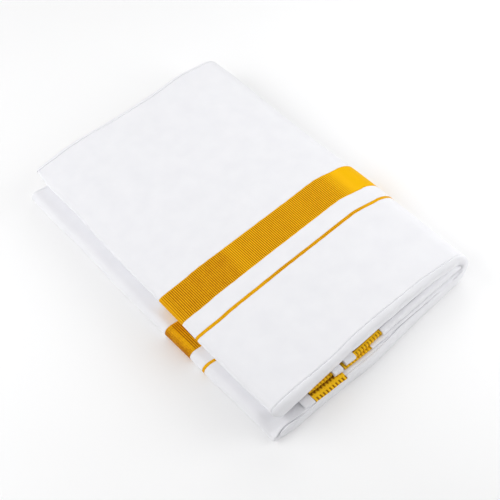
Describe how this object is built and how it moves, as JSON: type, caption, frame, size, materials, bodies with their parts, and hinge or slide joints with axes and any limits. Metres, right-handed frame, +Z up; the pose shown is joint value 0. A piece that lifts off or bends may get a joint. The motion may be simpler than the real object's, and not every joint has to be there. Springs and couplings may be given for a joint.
{
  "type": "folded dhoti cloth",
  "caption": "White cotton dhoti folded flat into a soft packet, open at the left, with a woven gold zari band and a fine gold line across it.",
  "frame": {"origin": "middle of the packet's footprint, on the surface it lies on", "axes": "+X from the open left folds across to the spine, +Y from the front end, where the zari lies nearer, to the back end, +Z up"},
  "size_m": [0.224, 0.3334, 0.032],
  "materials": {
    "white_cotton": "matt plain-woven cotton, slightly cool white",
    "gold_zari": "ribbed woven metallic gold thread with a satin sheen"
  },
  "bodies": {
    "root": {"cloth_front": "white_cotton", "zari_line": "gold_zari", "cloth_between_zari": "white_cotton", "zari_band": "gold_zari", "cloth_back": "white_cotton", "hidden_layers": "white_cotton", "ply_left_low_plain": "white_cotton", "ply_left_low_border": "gold_zari", "ply_left_top_border": "gold_zari", "ply_left_top_tab": "white_cotton", "ply_right_low_border": "gold_zari", "ply_right_low_plain": "white_cotton", "ply_right_top_margin": "white_cotton", "ply_right_top_border": "gold_zari", "ply_right_top_plain": "white_cotton"}
  },
  "joints": []
}
